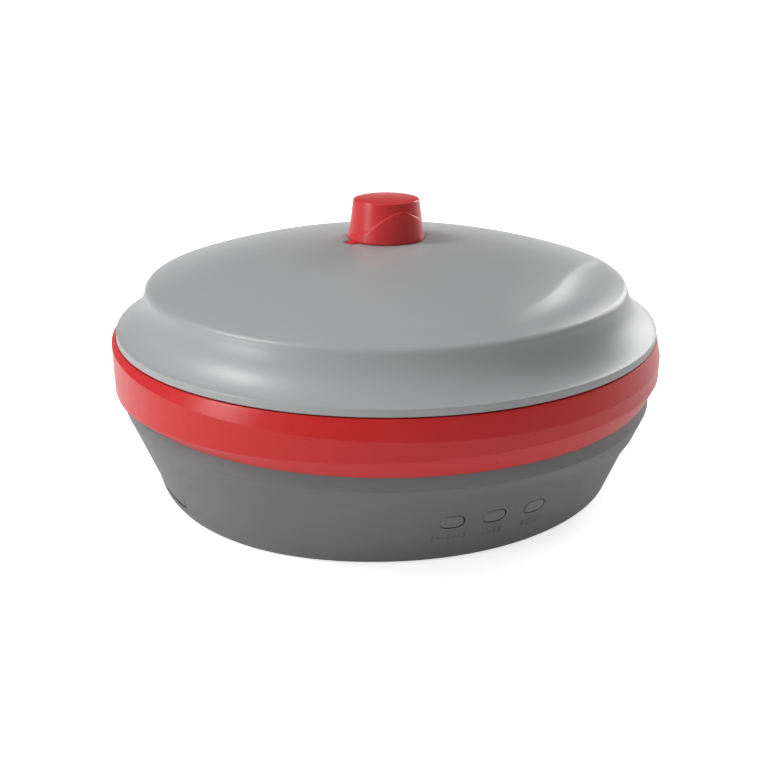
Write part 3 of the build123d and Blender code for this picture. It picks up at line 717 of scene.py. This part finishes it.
def plate_outline(azimuth):
    """Base plate with a rim groove and a ring groove, and the lip on one side."""
    if abs(azimuth - SLOT_MIDDLE) < LIP_HALF:
        low_z, rim_z, inner = skirt_edge_z(azimuth), LIP_TOP, 62.5
        outer, rim_r = skirt_at(azimuth, low_z), skirt_at(azimuth, LIP_TOP)
    else:
        low_z, rim_z, inner = PLATE_BOTTOM, PLATE_BOTTOM + 1.0, 65.2
        outer = rim_r = 65.7
    edge = rounded([(inner, low_z, 0.0, 1), (outer, low_z, 0.6, 1), (rim_r, rim_z, 0.2, 1),
                    (min(outer, 66.5) - 1.0, rim_z, 0.0, 1)], arc_steps=4)
    outline = [(13.7, PLATE_TOP), (13.7, PLATE_BOTTOM + 0.2), (13.9, PLATE_BOTTOM), (20.0, PLATE_BOTTOM),
               (20.15, PLATE_BOTTOM + 0.35), (20.85, PLATE_BOTTOM + 0.35), (21.0, PLATE_BOTTOM),
               (58.0, PLATE_BOTTOM), (62.3, PLATE_BOTTOM)]
    return outline + edge[5:15] + [(64.7, rim_z), (64.7, PLATE_TOP)]


plate_angles = sorted(ring_angles(288) + gap_ends(LIP_HALF))
plate = turned("underside_plate", plate_outline, plate_angles, RECEIVER, replaces=("base_plate",),
               slot="housing_plastic", material=HOUSING_GREY)
holes = [[level(circle(9.5, 64), 0.0, PORT_AT), level(circle(9.5, 64), 5.0, PORT_AT)],
         [level(circle(4.0, 48), 0.0, VENT_AT), level(circle(4.0, 48), 5.0, VENT_AT)]]
cut(plate, stacked("port_and_vent", holes, material=HOUSING_GREY))
sinks = [[level(circle(r0), 0.0, at), level(circle(r0), PLATE_BOTTOM - 0.01, at),
          level(circle(r1), PLATE_BOTTOM + 0.15, at), level(circle(r1), PLATE_BOTTOM + deep, at)]
         for places, r0, r1, deep in ((SCREWS_AT, 3.15, 2.95, 1.0), (FEET_AT, 5.35, 5.15, 0.6))
         for at in places]
cut(plate, stacked("sinks", sinks, material=HOUSING_GREY))


def foot_outline(azimuth):
    """Rubber foot with a rounded edge and two ring grooves in its sole."""
    top = high("rubber_feet").z
    return [(0.0, top), (0.0, 0.12), (1.1, 0.12), (1.3, 0.45), (1.7, 0.45), (1.9, 0.04), (2.9, 0.0),
            (3.1, 0.4), (3.5, 0.4), (3.7, 0.0), (4.35, 0.03), (4.7, 0.18), (4.93, 0.5), (FOOT_R, 0.9),
            (FOOT_R, top)]


turned("rubber_foot", foot_outline, ring_angles(48), RECEIVER, places=FEET_AT, replaces=("rubber_feet",),
       slot="foot_rubber", material=FOOT_BLACK)


def base_screw_outline(azimuth):
    """Flat head with a rounded edge and a six-lobed drive."""
    drive = 1.22 + 0.2 * cos(radians(6 * azimuth))
    z = low("base_screws").z
    return [(0.0, z + 4.5), (0.0, z + 0.95), (0.4, z + 0.75), (drive, z + 0.72), (drive, z + 0.16),
            (drive + 0.16, z + 0.02), (2.1, z), (2.5, z + 0.06), (2.74, z + 0.26), (SCREW_HEAD_R, z + 0.5),
            (SCREW_HEAD_R, z + 1.0), (1.25, z + 1.0), (1.25, z + 4.5)]


turned("plate_screws", base_screw_outline, ring_angles(72), RECEIVER, places=SCREWS_AT,
       replaces=("base_screws",), slot="screw_steel", material=STEEL)


POLE_PITCH, SOCKET_PITCH = 2.309, 0.907   # 11 and 28 turns to the inch


def thread(z, azimuth, pitch):
    """Height of a rounded 60 degree thread form, 0 to 1."""
    phase = (z / pitch - azimuth / 360.0) % 1.0
    return float(smoothstep(0.0, 1.0, min(1.0, max(0.0, 1.25 * (1.0 - abs(2 * phase - 1.0)) - 0.12))))


def pole_outline(azimuth):
    """Brass insert: a flange face with a ring groove, countersunk mouth and a 5/8 inch, 11 per inch thread.
    """
    low_z, bore_top, top = low("pole_insert").z, 16.5, high("pole_insert").z
    outline = [(0.0, top), (0.0, bore_top), (6.9, bore_top)]
    z = bore_top - 0.3
    while z > low_z + 1.25:
        outline.append((6.8 + 1.05 * (1.0 - thread(z, azimuth, POLE_PITCH)), z))
        z -= 0.15
    outline += [(8.0, low_z + 1.2), (8.75, low_z + 0.35), (8.95, low_z + 0.12), (9.3, low_z),
                (9.9, low_z), (10.05, low_z + 0.18), (10.45, low_z + 0.18), (10.6, low_z)]
    outline += [(12.6, low_z), (13.1, low_z + 0.1), (13.35, low_z + 0.3), (13.4, low_z + 0.6),
                (13.4, low_z + 1.45), (10.9, low_z + 1.5), (10.9, top)]
    return outline


turned("pole_thread_insert", pole_outline, ring_angles(120), RECEIVER, replaces=("pole_insert",),
       slot="brass", material=BRASS)


KEYWAYS = ((0.0, 9.0), (95.0, 5.0), (140.0, 5.0), (220.0, 5.0), (265.0, 5.0))   # azimuth, half width


def port_outline(azimuth):
    """Shell of the data port, with five keyways down its bore."""
    low_z, top = low("data_port").z, high("data_port").z
    in_keyway = any(abs((azimuth - at + 180.0) % 360.0 - 180.0) < half_width for at, half_width in KEYWAYS)
    bore = 7.15 if in_keyway else 6.6
    return [(bore, top), (bore, low_z + 0.5), (bore + 0.3, low_z + 0.12), (bore + 0.55, low_z),
            (8.2, low_z), (8.6, low_z + 0.1), (8.85, low_z + 0.35), (8.9, low_z + 0.7),
            (8.9, low_z + 5.2), (11.0, low_z + 5.2), (11.0, low_z + 6.5), (8.9, low_z + 6.5), (8.9, top)]


turned("port_shell", port_outline, ring_angles(180), RECEIVER, places=(PORT_AT,), replaces=("data_port",),
       slot="nickel", material=NICKEL)


def pin_outline(azimuth):
    """A round contact with a domed tip."""
    low_z, top = low("port_pins").z, high("port_pins").z
    return [(0.0, top), (0.0, low_z), (0.2, low_z + 0.03), (0.36, low_z + 0.16), (0.45, low_z + 0.45),
            (0.45, top)]


def round_about(centre, r, count, start=0.0):
    """Places spaced evenly on a circle, the first at an angle from +X."""
    turns = [radians(start + 360.0 * k / count) for k in range(count)]
    return [(centre.x + r * cos(turn), centre.y + r * sin(turn)) for turn in turns]


pins = round_about(PORT, 4.4, 8) + round_about(PORT, 1.8, 4, 45.0)
turned("port_contacts", pin_outline, ring_angles(20), RECEIVER, places=pins, replaces=("port_pins",),
       slot="contact_gold", material=GOLD)


def vent_outline(azimuth):
    """Breather plug: a low cap with a scalloped grip."""
    low_z, top = low("vent_plug").z, high("vent_plug").z
    grip = 3.72 + 0.08 * cos(radians(12 * azimuth))
    return [(0.0, top), (0.0, low_z + 0.25), (1.0, low_z + 0.22), (1.15, low_z), (3.3, low_z),
            (grip - 0.1, low_z + 0.15), (grip, low_z + 0.4), (grip, low_z + 1.0), (3.05, low_z + 1.0),
            (3.05, top)]


vent = turned("breather_plug", vent_outline, ring_angles(96), RECEIVER, places=(VENT_AT,),
              replaces=("vent_plug",), slot="vent_plastic", material=PORT_BLACK)
breathers = [[level(circle(0.5, 20), 1.5, at), level(circle(0.5, 20), 4.5, at)]
             for at in round_about(VENT, 2.1, 3)]
cut(vent, stacked("breathers", breathers, material=PORT_BLACK))

label_low, label_high = low("rating_plate"), high("rating_plate")
label_at = ((label_low.x + label_high.x) / 2, (label_low.y + label_high.y) / 2)
width, depth = label_high.x - label_low.x, label_high.y - label_low.y
blank = [(0.0, label_high.z), (0.0, label_low.z + 0.08), (0.08, label_low.z), (1.3, label_low.z),
         (1.36, label_low.z + 0.07), (1.6, label_low.z + 0.07), (1.66, label_low.z)]
stacked("blank_rating_plate",
        [[level(round_rectangle(width - 2 * inset, depth - 2 * inset, max(0.2, 1.8 - inset)), z, label_at)
          for inset, z in blank]], RECEIVER, replaces=("rating_plate",), slot="label_film", material=LABEL,
        angle=20.0)


# ------------------------------------------------------------------ radio antenna socket and its cap
def socket_outline(azimuth):
    """Coaxial socket barrel, with a 7/16 inch, 28 per inch outer thread over a flange."""
    base = low("radio_socket").z
    outline = [(4.05, SOCKET_TOP - 0.25), (4.05, 74.5), (2.2, 74.5), (2.2, base), (5.5, base), (5.5, SEAT_Z),
               (5.7, SEAT_Z), (5.7, 71.3), (7.2, 71.3), (7.2, SEAT_Z + 0.02), (8.6, SEAT_Z + 0.02)]
    flat = 8.6 - 0.25 * max(0.0, cos(radians(4 * azimuth))) ** 6
    outline += [(flat, 71.9), (flat - 0.15, 72.12), (flat - 0.4, 72.2), (5.2, 72.2), (5.0, 72.35)]
    z = 72.6
    while z < SOCKET_TOP - 0.75:
        outline.append((4.98 + 0.57 * thread(z, azimuth, SOCKET_PITCH), z))
        z += 0.085
    return outline + [(5.0, SOCKET_TOP - 0.7), (4.95, SOCKET_TOP - 0.2), (4.75, SOCKET_TOP),
                      (4.35, SOCKET_TOP), (4.12, SOCKET_TOP - 0.08)]


turned("antenna_socket", socket_outline, ring_angles(96), RECEIVER, replaces=("radio_socket",),
       slot="nickel", material=NICKEL)

CAP_STEP = 0.27                           # how far the skirt stands proud
CAP_CREASE = ((-90.0, 71.7), (-72.0, 71.8), (-54.0, 72.4), (-39.0, 73.1), (-25.5, 74.3), (-13.0, 76.2),
              (7.5, 78.5), (29.5, 79.5), (45.5, 78.3), (67.0, 76.1), (90.0, 71.7))   # azimuth, height


def cap_relief(azimuth, z):
    """The skirt below the curved crease stands proud of the top part."""
    turn = (azimuth + 90.0) % 180.0 - 90.0       # the same crease twice round the cap
    crease = smooth_curve(CAP_CREASE, turn)
    return CAP_STEP * float(smoothstep(crease - 0.12, crease + 0.5, z))


def cap_outline(azimuth):
    """The cap's hollow, its top, its side down to the foot, and the groove inside the skirt."""
    skirt = [CAP_LOW + 0.75 + (CAP_HIGH - 2.4 - CAP_LOW) * i / 80 for i in range(81)]

    def side(z):
        return 11.46 - 0.132 * (z - CAP_LOW) - cap_relief(azimuth, z)

    wall = [(side(z), z) for z in skirt]
    shoulder = side(CAP_HIGH - 0.5)
    foot = rounded([(9.9, CAP_LOW, 0.0, 1), (side(CAP_LOW) - 0.05, CAP_LOW, 0.5, 1), wall[0] + (0.0, 1)],
                   arc_steps=5)
    top = rounded([wall[-1] + (0.0, 1), (shoulder, CAP_HIGH - 0.52, 1.1, 1),
                   (0.0, CAP_HIGH, 0.0, 1)], arc_steps=8)
    outline = [(5.63, 72.7), (5.63, 81.0), (0.0, 81.0), (0.0, CAP_HIGH)]
    outline += [(r, CAP_HIGH - 0.42 * (r / 9.6) ** 2) for r in (2.0, 4.0, 6.0, 7.6, 8.6)]
    outline += list(reversed(top[9:18])) + list(reversed(wall)) + list(reversed(foot[6:12]))
    return outline + [(9.9, CAP_LOW), (9.7, 72.0), (8.6, 81.0), (7.2, 81.0), (7.2, 72.7)]


turned("red_cap", cap_outline, ring_angles(240), CAP, replaces=("socket_cap",), slot="cap_plastic",
       material=CAP_RED)
tab_edge = ((0.12, -0.4), (0.0, -0.28), (0.0, 0.1), (0.15, 0.25))          # inset, height over the seat
stacked("pry_tab", [[level(turned_plate(3.2 - 2 * inset, 2.8 - 2 * inset, 0.6, PRY_AZIMUTH, 11.95),
                           SEAT_Z + z) for inset, z in tab_edge]], CAP, slot="cap_plastic", material=CAP_RED)


# ------------------------------------------------------------------ finishes of the CAD pieces that stay
FINISHES = {
    "housing_plastic": HOUSING_GREY, "seal_rubber": SEAL_BLACK, "nickel": NICKEL, "contact_gold": GOLD,
    "ptfe": PTFE, "port_plastic": PORT_BLACK, "screw_steel": STEEL, "brass": BRASS, "nylon": NYLON,
    "sheet_aluminium": ALUMINIUM, "antenna_laminate": LAMINATE, "board_laminate": BOARD_GREEN,
    "shield_tin": TIN, "led_package": EPOXY, "lead_jacket": JACKET,
}
for part in frame["record"]["subparts"]:
    node = frame["nodes"][part["node"]]
    if part["material_slot"] in FINISHES:
        node.data.materials.clear()
        node.data.materials.append(FINISHES[part["material_slot"]])
